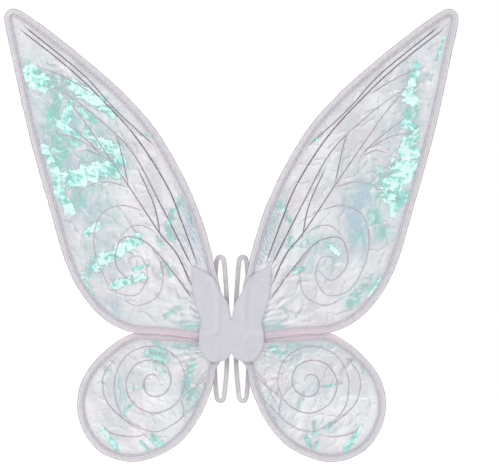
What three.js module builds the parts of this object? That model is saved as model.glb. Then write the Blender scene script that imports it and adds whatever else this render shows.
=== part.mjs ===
// Costume fairy wings: four film wings on wire frames, held between two felt covers shaped like a
// small butterfly, with two elastic shoulder loops on the wearer's side.
//
// Millimetres, +Z up. +X is the viewer's right when the decorated side is seen, and +Y points at the
// wearer. The origin is the middle of the strap keeper's face, which lies on the wearer's back.
// Everything is laid out in flat layers along Y, and both sides are mirror images across X = 0.

import * as THREE from "three";

// ---------------------------------------------------------------- sizes

const gap = 0.3; // between two pieces that touch

// Felt
const feltThickness = 1.2;
const keeperHalfWidth = 10.6;
const keeperHalfHeight = 18;

// Fold lines: each side of the wings turns about an upright line beside the spine
const foldX = 12;
const rootSetback = 5; // from the fold line to the upright stretch of a frame wire
const boardHalfWidth = 8;
const boardHalfHeight = 17;
const boardThickness = 2;
const waddingHalfWidth = 5.4;
const waddingHalfHeight = 15;

// Frame wires and the film casings that they run in
const wireRadius = 0.9;
const wireEndGap = 0.6; // between the two ends of a frame wire, inside its splice
const boreClearance = 0.25; // round the wire, in a casing or a splice
const casingWidth = 10;
const casingWall = 0.25;
const spliceLength = 12;
const spliceWall = 0.3;
const filmThickness = 0.3;

// Wings, measured along the wire from its upright stretch at the root
const upperReach = 266.5;
const upperRise = 410.8;
const tipInnerRadius = 2.2; // inside the casing, at the upper wing's tip
const lowerReach = 174;
const lowerDrop = 156;

// Felt covers
const coverReach = 50.6;
const coverTop = 90.3;
const coverBottom = 33.4;
const notchTop = 21;
const notchBottom = 21.2;

// Shoulder loops
const strapWidth = 6;
const strapThickness = 1.6;
const strapLegX = 5.8; // the middle of the sewn leg
const strapOpening = 18; // from the sewn leg to the free leg, at the middle
const strapEndWidth = 9.2; // the same, at the rounded ends
const strapTop = 100.5;
const strapBottom = -83.5;
const strapStandOff = THREE.MathUtils.degToRad(12); // how far a loop stands off the back cover

// Facets
const wireSides = 6;
const casingSides = 8;
const strapSides = 8;
const stepsPerSpan = 2;
const arcSpans = 4;

// ---------------------------------------------------------------- layers, from the wearer outwards

const boreRadius = wireRadius + boreClearance;
const casingThickness = 2 * (boreRadius + casingWall);
const spliceRadius = boreRadius + spliceWall;
const frameLayer = Math.max(casingThickness, 2 * spliceRadius);

const keeperBack = 0;
const strapY = keeperBack - feltThickness - gap - strapThickness / 2;
const backCoverBack = strapY - strapThickness / 2 - gap;
const lowerWingY = backCoverBack - feltThickness - gap - frameLayer / 2;
const upperWingY = lowerWingY - frameLayer - gap;
const frontCoverBack = upperWingY - frameLayer / 2 - gap;
const boardBack = backCoverBack - feltThickness - gap;
const waddingBack = boardBack - boardThickness - gap;
const waddingThickness = waddingBack - frontCoverBack - gap;

// ---------------------------------------------------------------- materials

const finishes = {
  film: { color: "#dfe6ea", roughness: 0.18, metalness: 0, transparent: true, opacity: 0.55 },
  casing: { color: "#d5cfdb", roughness: 0.35, metalness: 0, transparent: true, opacity: 0.8 },
  wire: { color: "#c9ccd0", roughness: 0.3, metalness: 0.9 },
  tube: { color: "#ececf0", roughness: 0.45, metalness: 0 },
  felt: { color: "#cfcfdb", roughness: 0.95, metalness: 0 },
  elastic: { color: "#c4c1c6", roughness: 0.5, metalness: 0 },
  board: { color: "#d8d4cc", roughness: 0.9, metalness: 0 },
  wadding: { color: "#f1f1f3", roughness: 1, metalness: 0 },
};

const wings = new THREE.Group();

function add(name, geometry, finish, y = 0) {
  const mesh = new THREE.Mesh(geometry, new THREE.MeshStandardMaterial(finishes[finish]));
  mesh.name = name;
  mesh.position.y = y;
  wings.add(mesh);
}

// The same piece on both sides. The shapes are drawn for +X, which is the viewer's right.
function addPair(name, geometry, finish, y) {
  add(`right_${name}`, geometry, finish, y);
  add(`left_${name}`, mirrored(geometry), finish, y);
}

function mirrored(geometry) {
  const copy = geometry.clone().scale(-1, 1, 1);
  const position = copy.getAttribute("position");
  const corner = new THREE.Vector3();
  const other = new THREE.Vector3();
  for (let i = 0; i < position.count; i += 3) {
    corner.fromBufferAttribute(position, i + 1);
    other.fromBufferAttribute(position, i + 2);
    position.setXYZ(i + 1, other.x, other.y, other.z);
    position.setXYZ(i + 2, corner.x, corner.y, corner.z);
  }
  copy.computeVertexNormals();
  return copy;
}

// ---------------------------------------------------------------- curves and sections

// A smooth line through points in the XZ plane. It takes its steps evenly from point to point, and
// not along its length, so that close points give a tight bend the facets that it needs. A stretch
// of it has the same steps as the whole.
class FrameLine extends THREE.CatmullRomCurve3 {
  constructor(points, first = 0, last = points.length - 1) {
    super(
      points.map(([x, z]) => new THREE.Vector3(x, 0, z)),
      false,
      "centripetal",
    );
    this.from = first / (points.length - 1);
    this.to = last / (points.length - 1);
    this.steps = (last - first) * stepsPerSpan;
  }
  getPoint(t, target) {
    return super.getPoint(this.from + (this.to - this.from) * t, target);
  }
  getPointAt(u, target) {
    return this.getPoint(u, target);
  }
  getTangentAt(u, target) {
    return this.getTangent(u, target);
  }
}

// An oval section. Swept along a line in the XZ plane, its thickness lies along Y.
function oval(thickness, width, sides) {
  const corner = (_, i) => {
    const angle = (2 * Math.PI * (i + 0.5)) / sides;
    return new THREE.Vector2((thickness / 2) * Math.cos(angle), (width / 2) * Math.sin(angle));
  };
  return Array.from({ length: sides }, corner);
}

const round = (radius) => oval(2 * radius, 2 * radius, wireSides);

function sweep(section, line, bore = null) {
  const shape = new THREE.Shape(section);
  if (bore) shape.holes.push(new THREE.Path(bore));
  return new THREE.ExtrudeGeometry(shape, {
    steps: line.steps,
    extrudePath: line,
    bevelEnabled: false,
  });
}

// A flat plate whose outline is given in X and Z. Its back is at Y = 0 and it grows towards -Y.
function plate(shape, thickness) {
  const geometry = new THREE.ExtrudeGeometry(shape, {
    depth: thickness,
    bevelEnabled: false,
    curveSegments: 3,
  });
  return geometry.rotateX(Math.PI / 2);
}

function rectangle(halfWidth, halfHeight) {
  const corners = [
    [-halfWidth, -halfHeight],
    [halfWidth, -halfHeight],
    [halfWidth, halfHeight],
    [-halfWidth, halfHeight],
  ];
  return new THREE.Shape(corners.map(([x, z]) => new THREE.Vector2(x, z)));
}

// ---------------------------------------------------------------- wing frames

const rootX = foldX + rootSetback;
const tipRadius = casingWidth / 2 + tipInnerRadius;
const tipStart = THREE.MathUtils.degToRad(122);
const tipEnd = THREE.MathUtils.degToRad(-9);

// Shares of the wing's reach and rise: up the leading edge from the root to the tip, then down the
// trailing edge and back along the hem that meets the lower wing.
const leadingEdge = [
  [0.021, 0.178],
  [0.123, 0.402],
  [0.304, 0.622],
  [0.45, 0.733],
  [0.639, 0.843],
  [0.853, 0.952],
];
const trailingEdge = [
  [0.961, 0.855],
  [0.885, 0.632],
  [0.79, 0.41],
  [0.705, 0.226],
  [0.65, 0.153],
  [0.564, 0.081],
  [0.492, 0.046],
  [0.398, 0.022],
  [0.27, 0.017],
];

// The same for the lower wing: along the top hem, round the outside and up the inner edge.
const lowerEdge = [
  [0.25, -0.018],
  [0.44, -0.008],
  [0.58, -0.002],
  [0.66, -0.031],
  [0.785, -0.127],
  [0.937, -0.314],
  [0.998, -0.497],
  [0.987, -0.681],
  [0.903, -0.861],
  [0.799, -0.951],
  [0.625, -0.998],
  [0.456, -0.951],
  [0.309, -0.857],
  [0.175, -0.674],
  [0.092, -0.477],
  [0.058, -0.358],
  [0.035, -0.24],
];

const place = (edge, reach, rise) => edge.map(([x, z]) => [rootX + x * reach, z * rise]);

// The upper wing's tip is a round arc, wide enough for the film to reach into it.
function tip() {
  const centre = [rootX + upperReach - tipRadius, upperRise - tipRadius];
  const points = [];
  for (let i = 0; i <= arcSpans; i += 1) {
    const angle = tipStart + ((tipEnd - tipStart) * i) / arcSpans;
    points.push([centre[0] + tipRadius * Math.cos(angle), centre[1] + tipRadius * Math.sin(angle)]);
  }
  return points;
}

// The upright stretch at the root is straight for the length of its splice and a little more. The
// wire's two ends meet in the middle of it, at spliceZ.
function rootStart(spliceZ, top) {
  return [
    [rootX, spliceZ + wireEndGap / 2],
    [rootX, spliceZ + spliceLength / 2 + gap],
    [rootX, top],
  ];
}

function rootEnd(spliceZ, bottom) {
  return [
    [rootX, bottom],
    [rootX, spliceZ - spliceLength / 2 - gap],
    [rootX, spliceZ - wireEndGap / 2],
  ];
}

const upperSpliceZ = 25;
const upperPoints = [
  ...rootStart(upperSpliceZ, 44),
  ...place(leadingEdge, upperReach, upperRise),
  ...tip(),
  ...place(trailingEdge, upperReach, upperRise),
  [rootX + 34, 2.2],
  [rootX + 17, 1],
  [rootX + 4.5, 3.4],
  ...rootEnd(upperSpliceZ, 10),
];

const lowerSpliceZ = -16;
const lowerPoints = [
  ...rootStart(lowerSpliceZ, -8),
  [rootX + 4.5, -4.6],
  [rootX + 17, -3.6],
  [rootX + 34, -3.2],
  ...place(lowerEdge, lowerReach, lowerDrop),
  [rootX + 1.9, -30.5],
  ...rootEnd(lowerSpliceZ, -24),
];

// The casings stop inside the felt covers: first and last count the points that they reach.
const frames = [
  { name: "upper", points: upperPoints, first: 2, last: upperPoints.length - 5, y: upperWingY },
  { name: "lower", points: lowerPoints, first: 4, last: lowerPoints.length - 4, y: lowerWingY },
];

// The film fills the loop up to the casing's inner edge. Every frame runs clockwise as the viewer
// sees it, so the inside is to the right of the line.
function filmOutline(line) {
  const inset = casingWidth / 2 + gap;
  const corner = (_, i) => {
    const point = line.getPointAt(i / line.steps);
    const along = line.getTangentAt(i / line.steps);
    return new THREE.Vector2(point.x + along.z * inset, point.z - along.x * inset);
  };
  return new THREE.Shape(Array.from({ length: line.steps + 1 }, corner));
}

function splice(spliceZ) {
  const ends = [
    [rootX, spliceZ - spliceLength / 2],
    [rootX, spliceZ + spliceLength / 2],
  ];
  return sweep(round(spliceRadius), new FrameLine(ends), round(boreRadius));
}

for (const { name, points, first, last, y } of frames) {
  const wire = new FrameLine(points);
  const cased = new FrameLine(points, first, last);
  const casing = oval(casingThickness, casingWidth, casingSides);
  addPair(`${name}_wire`, sweep(round(wireRadius), wire), "wire", y);
  addPair(`${name}_casing`, sweep(casing, cased, round(boreRadius)), "casing", y);
  addPair(`${name}_film`, plate(filmOutline(cased), filmThickness), "film", y + filmThickness / 2);
}
addPair("upper_splice", splice(upperSpliceZ), "tube", upperWingY);
addPair("lower_splice", splice(lowerSpliceZ), "tube", lowerWingY);

// ---------------------------------------------------------------- felt covers and the core

// One half of the butterfly, as shares of its reach and of its top or bottom, from the middle of
// the top notch to the middle of the bottom notch.
const coverUpperEdge = [
  [0.093, 0.465],
  [0.253, 0.609],
  [0.445, 0.814],
  [0.7, 0.913],
];
const coverSide = [
  [0.99, 0.715],
  [0.941, 0.519],
  [0.812, 0.286],
  [0.765, 0.196],
  [0.812, 0.035],
];
const coverLowerEdge = [
  [0.812, 0.341],
  [0.7, 0.731],
  [0.573, 0.925],
  [0.415, 1],
  [0.253, 0.952],
  [0.093, 0.85],
];

function coverShape() {
  const spot = (rise) => ([x, z]) => new THREE.Vector2(x * coverReach, z * rise);
  const half = [
    new THREE.Vector2(0, notchTop),
    ...coverUpperEdge.map(spot(coverTop)),
    new THREE.Vector2(coverReach, coverTop),
    ...coverSide.map(spot(coverTop)),
    ...coverLowerEdge.map(spot(-coverBottom)),
    new THREE.Vector2(0, -notchBottom),
  ];
  const corner = half.findIndex(({ x }) => x === coverReach);
  const edge = (from, to) => new THREE.SplineCurve(half.slice(from, to + 1)).getPoints(2 * (to - from));
  const outline = [...edge(0, corner), ...edge(corner, half.length - 1).slice(1)];
  const otherSide = outline.slice(1, -1).map(({ x, y }) => new THREE.Vector2(-x, y));
  return new THREE.Shape([...outline, ...otherSide.reverse()]);
}

add("back_cover", plate(coverShape(), feltThickness), "felt", backCoverBack);
add("front_cover", plate(coverShape(), feltThickness), "felt", frontCoverBack);
add("core_board", plate(rectangle(boardHalfWidth, boardHalfHeight), boardThickness), "board", boardBack);
add(
  "core_wadding",
  plate(rectangle(waddingHalfWidth, waddingHalfHeight), waddingThickness),
  "wadding",
  waddingBack,
);
add("strap_keeper", plate(rectangle(keeperHalfWidth, keeperHalfHeight), feltThickness), "felt", keeperBack);

// ---------------------------------------------------------------- shoulder loops

// A loop's line, from the top of its sewn leg round to the bottom of it. X is counted from the sewn
// leg's inner edge, where the loop turns.
function loopPoints() {
  const middle = (strapWidth + strapOpening) / 2;
  const radius = strapEndWidth / 2;
  const leg = strapWidth / 2;
  const legEnd = keeperHalfHeight + gap;
  const topZ = strapTop - radius;
  const bottomZ = strapBottom + radius;
  const between = (a, b, share) => a + (b - a) * share;
  const inner = middle - radius;
  const outer = middle + radius;
  const widest = leg + strapOpening;
  const centreZ = (topZ + bottomZ) / 2;
  const topArc = [];
  const bottomArc = [];
  for (let i = 1; i < arcSpans; i += 1) {
    const angle = Math.PI - (Math.PI * i) / arcSpans;
    topArc.push([middle + radius * Math.cos(angle), topZ + radius * Math.sin(angle)]);
    bottomArc.unshift([middle + radius * Math.cos(angle), bottomZ - radius * Math.sin(angle)]);
  }
  return [
    [leg, legEnd],
    [leg, legEnd + gap],
    [between(leg, inner, 0.12), between(legEnd, topZ, 0.35)],
    [between(leg, inner, 0.52), between(legEnd, topZ, 0.72)],
    [inner, topZ],
    ...topArc,
    [outer, topZ],
    [between(outer, widest, 0.55), between(topZ, centreZ, 0.35)],
    [widest, centreZ],
    [between(outer, widest, 0.55), between(bottomZ, centreZ, 0.35)],
    [outer, bottomZ],
    ...bottomArc,
    [inner, bottomZ],
    [between(leg, inner, 0.52), between(-legEnd, bottomZ, 0.72)],
    [between(leg, inner, 0.12), between(-legEnd, bottomZ, 0.35)],
    [leg, -legEnd - gap],
    [leg, -legEnd],
  ];
}

const strapSection = oval(strapThickness, strapWidth, strapSides);
const turnX = strapLegX - strapWidth / 2;

// The loop turns on the face of its leg that lies against the back cover.
function strapLoop() {
  return sweep(strapSection, new FrameLine(loopPoints()))
    .translate(0, strapThickness / 2, 0)
    .rotateZ(strapStandOff)
    .translate(turnX, -strapThickness / 2, 0);
}

function strapLeg() {
  const ends = [
    [strapLegX, -keeperHalfHeight],
    [strapLegX, keeperHalfHeight],
  ];
  return sweep(strapSection, new FrameLine(ends));
}

addPair("strap_leg", strapLeg(), "elastic", strapY);
addPair("strap_loop", strapLoop(), "elastic", strapY);

export default wings;
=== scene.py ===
"""Looks of the costume fairy wings: film, casings, printed veins, felt covers and elastic loops.

Most outlines are shares of the frame's boxes. The stretches near the hub, the veins and the
reflections are in millimetres from the hub. Shapes are drawn for the viewer's right and mirrored for
the left; each side has reflections of its own. Meshes are written in metres.
"""

import math

import bmesh
import bpy
import numpy as np
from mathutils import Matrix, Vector, noise
from mathutils.geometry import delaunay_2d_cdt


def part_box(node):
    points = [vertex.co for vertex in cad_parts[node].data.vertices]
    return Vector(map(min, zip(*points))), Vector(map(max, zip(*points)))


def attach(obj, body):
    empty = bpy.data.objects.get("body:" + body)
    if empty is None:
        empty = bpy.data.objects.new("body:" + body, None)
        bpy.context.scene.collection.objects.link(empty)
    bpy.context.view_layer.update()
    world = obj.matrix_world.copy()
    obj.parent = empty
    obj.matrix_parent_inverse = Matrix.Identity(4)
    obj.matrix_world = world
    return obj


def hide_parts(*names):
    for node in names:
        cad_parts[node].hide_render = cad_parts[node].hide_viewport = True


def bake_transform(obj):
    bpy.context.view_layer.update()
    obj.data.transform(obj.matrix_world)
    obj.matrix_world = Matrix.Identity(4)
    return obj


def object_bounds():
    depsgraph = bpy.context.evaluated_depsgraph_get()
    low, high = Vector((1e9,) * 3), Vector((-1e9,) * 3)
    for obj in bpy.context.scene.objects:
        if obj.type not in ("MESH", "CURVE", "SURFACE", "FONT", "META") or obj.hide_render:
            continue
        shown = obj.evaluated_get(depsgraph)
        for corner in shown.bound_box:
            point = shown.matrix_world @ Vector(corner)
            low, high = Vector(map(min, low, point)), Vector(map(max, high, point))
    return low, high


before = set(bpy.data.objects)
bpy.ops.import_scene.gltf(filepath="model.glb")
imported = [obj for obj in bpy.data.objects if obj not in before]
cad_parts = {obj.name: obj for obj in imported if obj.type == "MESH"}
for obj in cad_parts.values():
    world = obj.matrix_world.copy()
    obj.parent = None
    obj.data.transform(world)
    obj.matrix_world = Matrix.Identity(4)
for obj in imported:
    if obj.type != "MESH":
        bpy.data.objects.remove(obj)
CAD_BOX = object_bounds()

MM = 0.001
SIDES = {"right": 1, "left": -1}
TIERS = ("upper", "lower")


def box(node):
    """A node's lowest and highest corners in millimetres."""
    low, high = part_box(node)
    return np.array(low) / MM, np.array(high) / MM


# ---------------------------------------------------------------- camera, floor and lights

# In metres.
VIEW_CENTRE = Vector((0.0235, 0, 0.1316))
VIEW_WIDTH = 0.6375
CAMERA_DISTANCE = 2.6
SENSOR_WIDTH = 36  # in the camera's own millimetres
FLOOR_Z = CAD_BOX[0].z - 0.04
FLOOR_RADIUS = 1.6
FLOOR_SIDES = 96

# Each light's name, place, size and watts.
LIGHTS = (
    ("key", (-1.6, -1.7, 1.9), 0.9, 22),
    ("fill", (1.8, -2.0, 0.6), 1.8, 4),
    ("rim", (0.4, 1.9, 1.6), 1.2, 10),
)


def make_camera():
    data = bpy.data.cameras.new("camera")
    data.sensor_width = SENSOR_WIDTH
    data.lens = data.sensor_width * CAMERA_DISTANCE / VIEW_WIDTH
    camera = bpy.data.objects.new("camera", data)
    camera.location = VIEW_CENTRE + Vector((0, -CAMERA_DISTANCE, 0))
    camera.rotation_euler = (math.pi / 2, 0, 0)
    bpy.context.collection.objects.link(camera)
    bpy.context.scene.camera = camera


def make_light(name, place, size, watts):
    data = bpy.data.lights.new(name, "AREA")
    data.shape = "DISK"
    data.size = size
    data.energy = watts
    light = bpy.data.objects.new(name, data)
    light.location = place
    aim = VIEW_CENTRE - Vector(place)
    light.rotation_euler = aim.to_track_quat("-Z", "Y").to_euler()
    bpy.context.collection.objects.link(light)


def make_world():
    world = bpy.data.worlds.new("studio")
    world.use_nodes = True
    background = world.node_tree.nodes["Background"]
    background.inputs["Color"].default_value = (1, 1, 1, 1)
    background.inputs["Strength"].default_value = 1.0
    bpy.context.scene.world = world
    bpy.context.scene.view_settings.view_transform = "Standard"
    bpy.context.scene.cycles.transparent_max_bounces = 32


# ---------------------------------------------------------------- lines in the XZ plane

SPAN_STEPS = 10  # how many steps a smooth line takes from one of its points to the next


def hermite(points, ends, weight):
    """The smooth line through points, with tangents from weight. "straight" ends run on as they
    came, "held" ends don't."""
    points = [np.array(p, float) for p in points]
    before = 2 * points[0] - points[1] if ends == "straight" else points[0]
    after = 2 * points[-1] - points[-2] if ends == "straight" else points[-1]
    chain = [before, *points, after]
    line = []
    for p0, p1, p2, p3 in zip(chain, chain[1:], chain[2:], chain[3:]):
        a, b = weight(p0, p1, p2, p3)
        for i in range(SPAN_STEPS):
            t = i / SPAN_STEPS
            line.append(
                (2 * t**3 - 3 * t**2 + 1) * p1
                + (t**3 - 2 * t**2 + t) * a
                + (3 * t**2 - 2 * t**3) * p2
                + (t**3 - t**2) * b
            )
    return np.array([*line, points[-1]])


def centripetal(p0, p1, p2, p3):
    d0, d1, d2 = (max(np.linalg.norm(b - a) ** 0.5, 1e-4) for a, b in ((p0, p1), (p1, p2), (p2, p3)))
    a = (p1 - p0) / d0 - (p2 - p0) / (d0 + d1) + (p2 - p1) / d1
    b = (p2 - p1) / d1 - (p3 - p1) / (d1 + d2) + (p3 - p2) / d2
    return a * d1, b * d1


def uniform(p0, p1, p2, p3):
    return (p2 - p0) / 2, (p3 - p1) / 2


def lengths(line):
    return np.concatenate([[0], np.cumsum(np.linalg.norm(np.diff(line, axis=0), axis=1))])


def even(line, pitch):
    """The line with its points an even distance apart."""
    along = lengths(line)
    count = max(2, round(along[-1] / pitch) + 1)
    places = np.linspace(0, along[-1], count)
    return np.stack([np.interp(places, along, line[:, i]) for i in range(line.shape[1])], axis=1)


def directions(line):
    step = np.gradient(line, axis=0)
    return step / np.maximum(np.linalg.norm(step, axis=1), 1e-9)[:, None]


def outwards(line):
    """Unit normals to the left of the line: away from the film on a frame, which runs clockwise."""
    along = directions(line)
    return np.stack([-along[:, 1], along[:, 0]], axis=1)


def nearest(points, line):
    """Each point's distance to the line, and how far along the line that is."""
    distance = np.full(len(points), 1e9)
    along = np.zeros(len(points))
    marks = lengths(line)
    for i in range(len(line) - 1):
        a, b = line[i], line[i + 1]
        step = b - a
        t = np.clip(((points - a) @ step) / max(step @ step, 1e-12), 0, 1)
        d = np.linalg.norm(points - a - t[:, None] * step, axis=1)
        closer = d < distance
        distance[closer] = d[closer]
        along[closer] = marks[i] + t[closer] * (marks[i + 1] - marks[i])
    return distance, along


# ---------------------------------------------------------------- wing frames

WIRE_RADIUS = 0.9
CASING_HALF = 5.0
TIP_INNER_RADIUS = 2.2
TIP_FROM = math.radians(122)  # the tip's round stretch starts and ends at these directions
TIP_TO = math.radians(-9)
TIP_SPANS = 4
SPLICE_LEAD = 0.3  # how far past each end of its splice a wire stays straight

# The wires near the hub, counted from the root's X: the upper wing's rises straight and comes back
# along the hem; the lower wing's leaves along the hem and comes back upright.
UPPER_RISER = ((0, 44),)
UPPER_RETURN = ((34, 2.2), (17, 1), (4.5, 3.4), (0, 10))
LOWER_START = ((0, -8), (4.5, -4.6), (17, -3.6), (34, -3.2))
LOWER_RETURN = ((1.9, -30.5), (0, -24))

# Shares of a wing's reach and rise, or of its reach and drop for the lower wing.
LEADING_EDGE = (
    (0.021, 0.178), (0.123, 0.402), (0.304, 0.622), (0.45, 0.733), (0.639, 0.843), (0.853, 0.952),
)
TRAILING_EDGE = (
    (0.961, 0.855), (0.885, 0.632), (0.79, 0.41), (0.705, 0.226), (0.65, 0.153), (0.564, 0.081),
    (0.492, 0.046), (0.398, 0.022), (0.27, 0.017),
)
LOWER_EDGE = (
    (0.25, -0.018), (0.44, -0.008), (0.58, -0.002), (0.66, -0.031), (0.785, -0.127), (0.937, -0.314),
    (0.998, -0.497), (0.987, -0.681), (0.903, -0.861), (0.799, -0.951), (0.625, -0.998),
    (0.456, -0.951), (0.309, -0.857), (0.175, -0.674), (0.092, -0.477), (0.058, -0.358),
    (0.035, -0.24),
)


class WingFrame:
    """One wing's wire line, clockwise from its root, and the layer that it lies in."""

    def __init__(self, tier):
        low, high = box(f"right_{tier}_wire")
        splice_low, splice_high = box(f"right_{tier}_splice")
        self.tier = tier
        self.y = (low[1] + high[1]) / 2
        self.root_x = low[0] + WIRE_RADIUS
        self.splice = (splice_low[2], splice_high[2])
        reach = high[0] - WIRE_RADIUS - self.root_x
        middle = sum(self.splice) / 2
        if tier == "upper":
            rise = high[2] - WIRE_RADIUS
            route = (
                *UPPER_RISER,
                *self.placed(LEADING_EDGE, reach, rise),
                *self.tip(reach, rise),
                *self.placed(TRAILING_EDGE, reach, rise),
                *UPPER_RETURN,
            )
            bare = (2, 5)
        else:
            drop = -low[2] - WIRE_RADIUS
            route = (*LOWER_START, *self.placed(LOWER_EDGE, reach, drop), *LOWER_RETURN)
            bare = (4, 4)
        leaving = ((0, middle), (0, self.splice[1] + SPLICE_LEAD))
        arriving = ((0, self.splice[0] - SPLICE_LEAD), (0, middle))
        points = [(self.root_x + x, z) for x, z in (*leaving, *route, *arriving)]
        self.line = hermite(points, "straight", centripetal)
        # The casing leaves bare this many of the points at each end.
        first, last = bare[0], len(points) - bare[1]
        self.cased = self.line[first * SPAN_STEPS : last * SPAN_STEPS + 1]

    def placed(self, edge, reach, rise):
        return [(x * reach, z * rise) for x, z in edge]

    def tip(self, reach, rise):
        radius = CASING_HALF + TIP_INNER_RADIUS
        angles = [TIP_FROM + (TIP_TO - TIP_FROM) * i / TIP_SPANS for i in range(TIP_SPANS + 1)]
        return [
            (reach - radius + radius * math.cos(a), rise - radius + radius * math.sin(a))
            for a in angles
        ]


WINGS = {tier: WingFrame(tier) for tier in TIERS}


# ---------------------------------------------------------------- meshes

GRID_ROW = 0.866  # a staggered grid's rows lie this share of its pitch apart
GRID_CLEAR = 0.6  # and its points stay this share of its pitch off the outline


def make_piece(name, points, faces, material, side="right"):
    """A new object from points in millimetres on the right, with its faces turned out."""
    points = np.array(points, float) * MM
    points[:, 0] *= SIDES[side]
    mesh = bpy.data.meshes.new(name)
    mesh.from_pydata(points.tolist(), [], [list(f) for f in faces])
    built = bmesh.new()
    built.from_mesh(mesh)
    bmesh.ops.recalc_face_normals(built, faces=built.faces)
    built.to_mesh(mesh)
    built.free()
    mesh.shade_smooth()
    mesh.materials.append(material)
    piece = bpy.data.objects.new(name, mesh)
    bpy.context.collection.objects.link(piece)
    return piece


def sweep(line, y, section):
    """A closed solid along a line in the XZ plane. section(i) gives its outline as rows of
    (outwards, thickness) at each point of the line."""
    normal = outwards(line)
    y = np.broadcast_to(y, len(line))
    points, faces = [], []
    count = len(section(0))
    for i, place in enumerate(line):
        for out, thick in section(i):
            across = place + normal[i] * out
            points.append((across[0], y[i] + thick, across[1]))
    for i in range(len(line) - 1):
        for j in range(count):
            k = (j + 1) % count
            faces.append((i * count + j, i * count + k, (i + 1) * count + k, (i + 1) * count + j))
    last = (len(line) - 1) * count
    faces.append(tuple(range(count)))
    faces.append(tuple(range(last, last + count)))
    return points, faces


def ring(radius, sides):
    angles = [2 * math.pi * (i + 0.5) / sides for i in range(sides)]
    return [(radius * math.cos(a), radius * math.sin(a)) for a in angles]


def filled(outline, pitch):
    """Points and triangles that fill an outline, with inner points on a staggered grid."""
    low, high = outline.min(axis=0), outline.max(axis=0)
    rows = []
    for j, z in enumerate(np.arange(low[1], high[1], pitch * GRID_ROW)):
        start = low[0] + (pitch / 2 if j % 2 else 0)
        rows += [(x, z) for x in np.arange(start, high[0], pitch)]
    grid = np.array(rows)
    x, z = grid[:, 0], grid[:, 1]
    inside = np.zeros(len(grid), bool)
    for (ax, az), (bx, bz) in zip(outline, np.roll(outline, -1, axis=0)):
        crosses = (az > z) != (bz > z)
        if crosses.any():
            cut = ax + (z - az) / (bz - az if bz != az else 1e-9) * (bx - ax)
            inside ^= crosses & (x < cut)
    grid = grid[inside]
    distance, _ = nearest(grid, np.vstack([outline, outline[:1]]))
    grid = grid[distance > pitch * GRID_CLEAR]
    points = [Vector(p) for p in np.vstack([outline, grid])]
    found = delaunay_2d_cdt(points, [], [list(range(len(outline)))], 1, 1e-5)
    return np.array([tuple(p) for p in found[0]]), [tuple(f) for f in found[2]]


def edge_loop(faces):
    """Edges that belong to one face only."""
    seen = {}
    for face in faces:
        for a, b in zip(face, face[1:] + face[:1]):
            key = (min(a, b), max(a, b))
            seen[key] = None if key in seen else (a, b)
    return [e for e in seen.values() if e]


def slab(flat, faces, front, back):
    """A closed solid between two heights over the same triangles: walls where they differ."""
    count = len(flat)
    points = [(x, y, z) for (x, z), y in zip(flat, front)]
    points += [(x, y, z) for (x, z), y in zip(flat, back)]
    solid = [tuple(f) for f in faces]
    solid += [tuple(i + count for i in reversed(f)) for f in faces]
    solid += [(b, a, a + count, b + count) for a, b in edge_loop(faces)]
    return points, solid


STITCH_SIDES = 6
STITCH_PROFILE = ((-0.5, 0.35), (-0.36, 0.95), (0, 1.0), (0.36, 0.95), (0.5, 0.35))


def threads(places, along, y, length, radius, lift):
    """Stitches as small rounded bars: where each is, which way it lies, at what height, and how far
    its middle arches up."""
    sides, profile = STITCH_SIDES, STITCH_PROFILE
    points, faces = [], []
    for (x, z), (dx, dz), height in zip(places, along, y):
        base = len(points)
        for share, size in profile:
            arch = lift * (1 - (2 * share) ** 2)
            for i in range(sides):
                angle = 2 * math.pi * i / sides
                u, v = radius * size * math.cos(angle), radius * size * math.sin(angle)
                points.append(
                    (x + dx * share * length - dz * u, height + v + arch, z + dz * share * length + dx * u)
                )
        for r in range(len(profile) - 1):
            for i in range(sides):
                j = (i + 1) % sides
                a, b = base + r * sides, base + (r + 1) * sides
                faces.append((a + i, a + j, b + j, b + i))
        faces.append(tuple(base + i for i in range(sides)))
        faces.append(tuple(base + (len(profile) - 1) * sides + i for i in range(sides)))
    return points, faces


def join(points, faces, more_points, more_faces):
    """Adds a second mesh to the first."""
    base = len(points)
    points += more_points
    faces += [tuple(i + base for i in face) for face in more_faces]


def wobble(x, z, size, seed, octaves=3):
    """Smooth noise from -1 to 1 whose lumps are about size across."""
    return noise.fractal(Vector((x / size, z / size, seed)), 0.9, 2.1, octaves)


def wobbles(points, size, seed, octaves=3):
    return np.array([wobble(x, z, size, seed, octaves) for x, z in points])


# ---------------------------------------------------------------- materials

THIN_FILM_NANOMETRES = 420
THIN_FILM_IOR = 1.45


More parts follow.
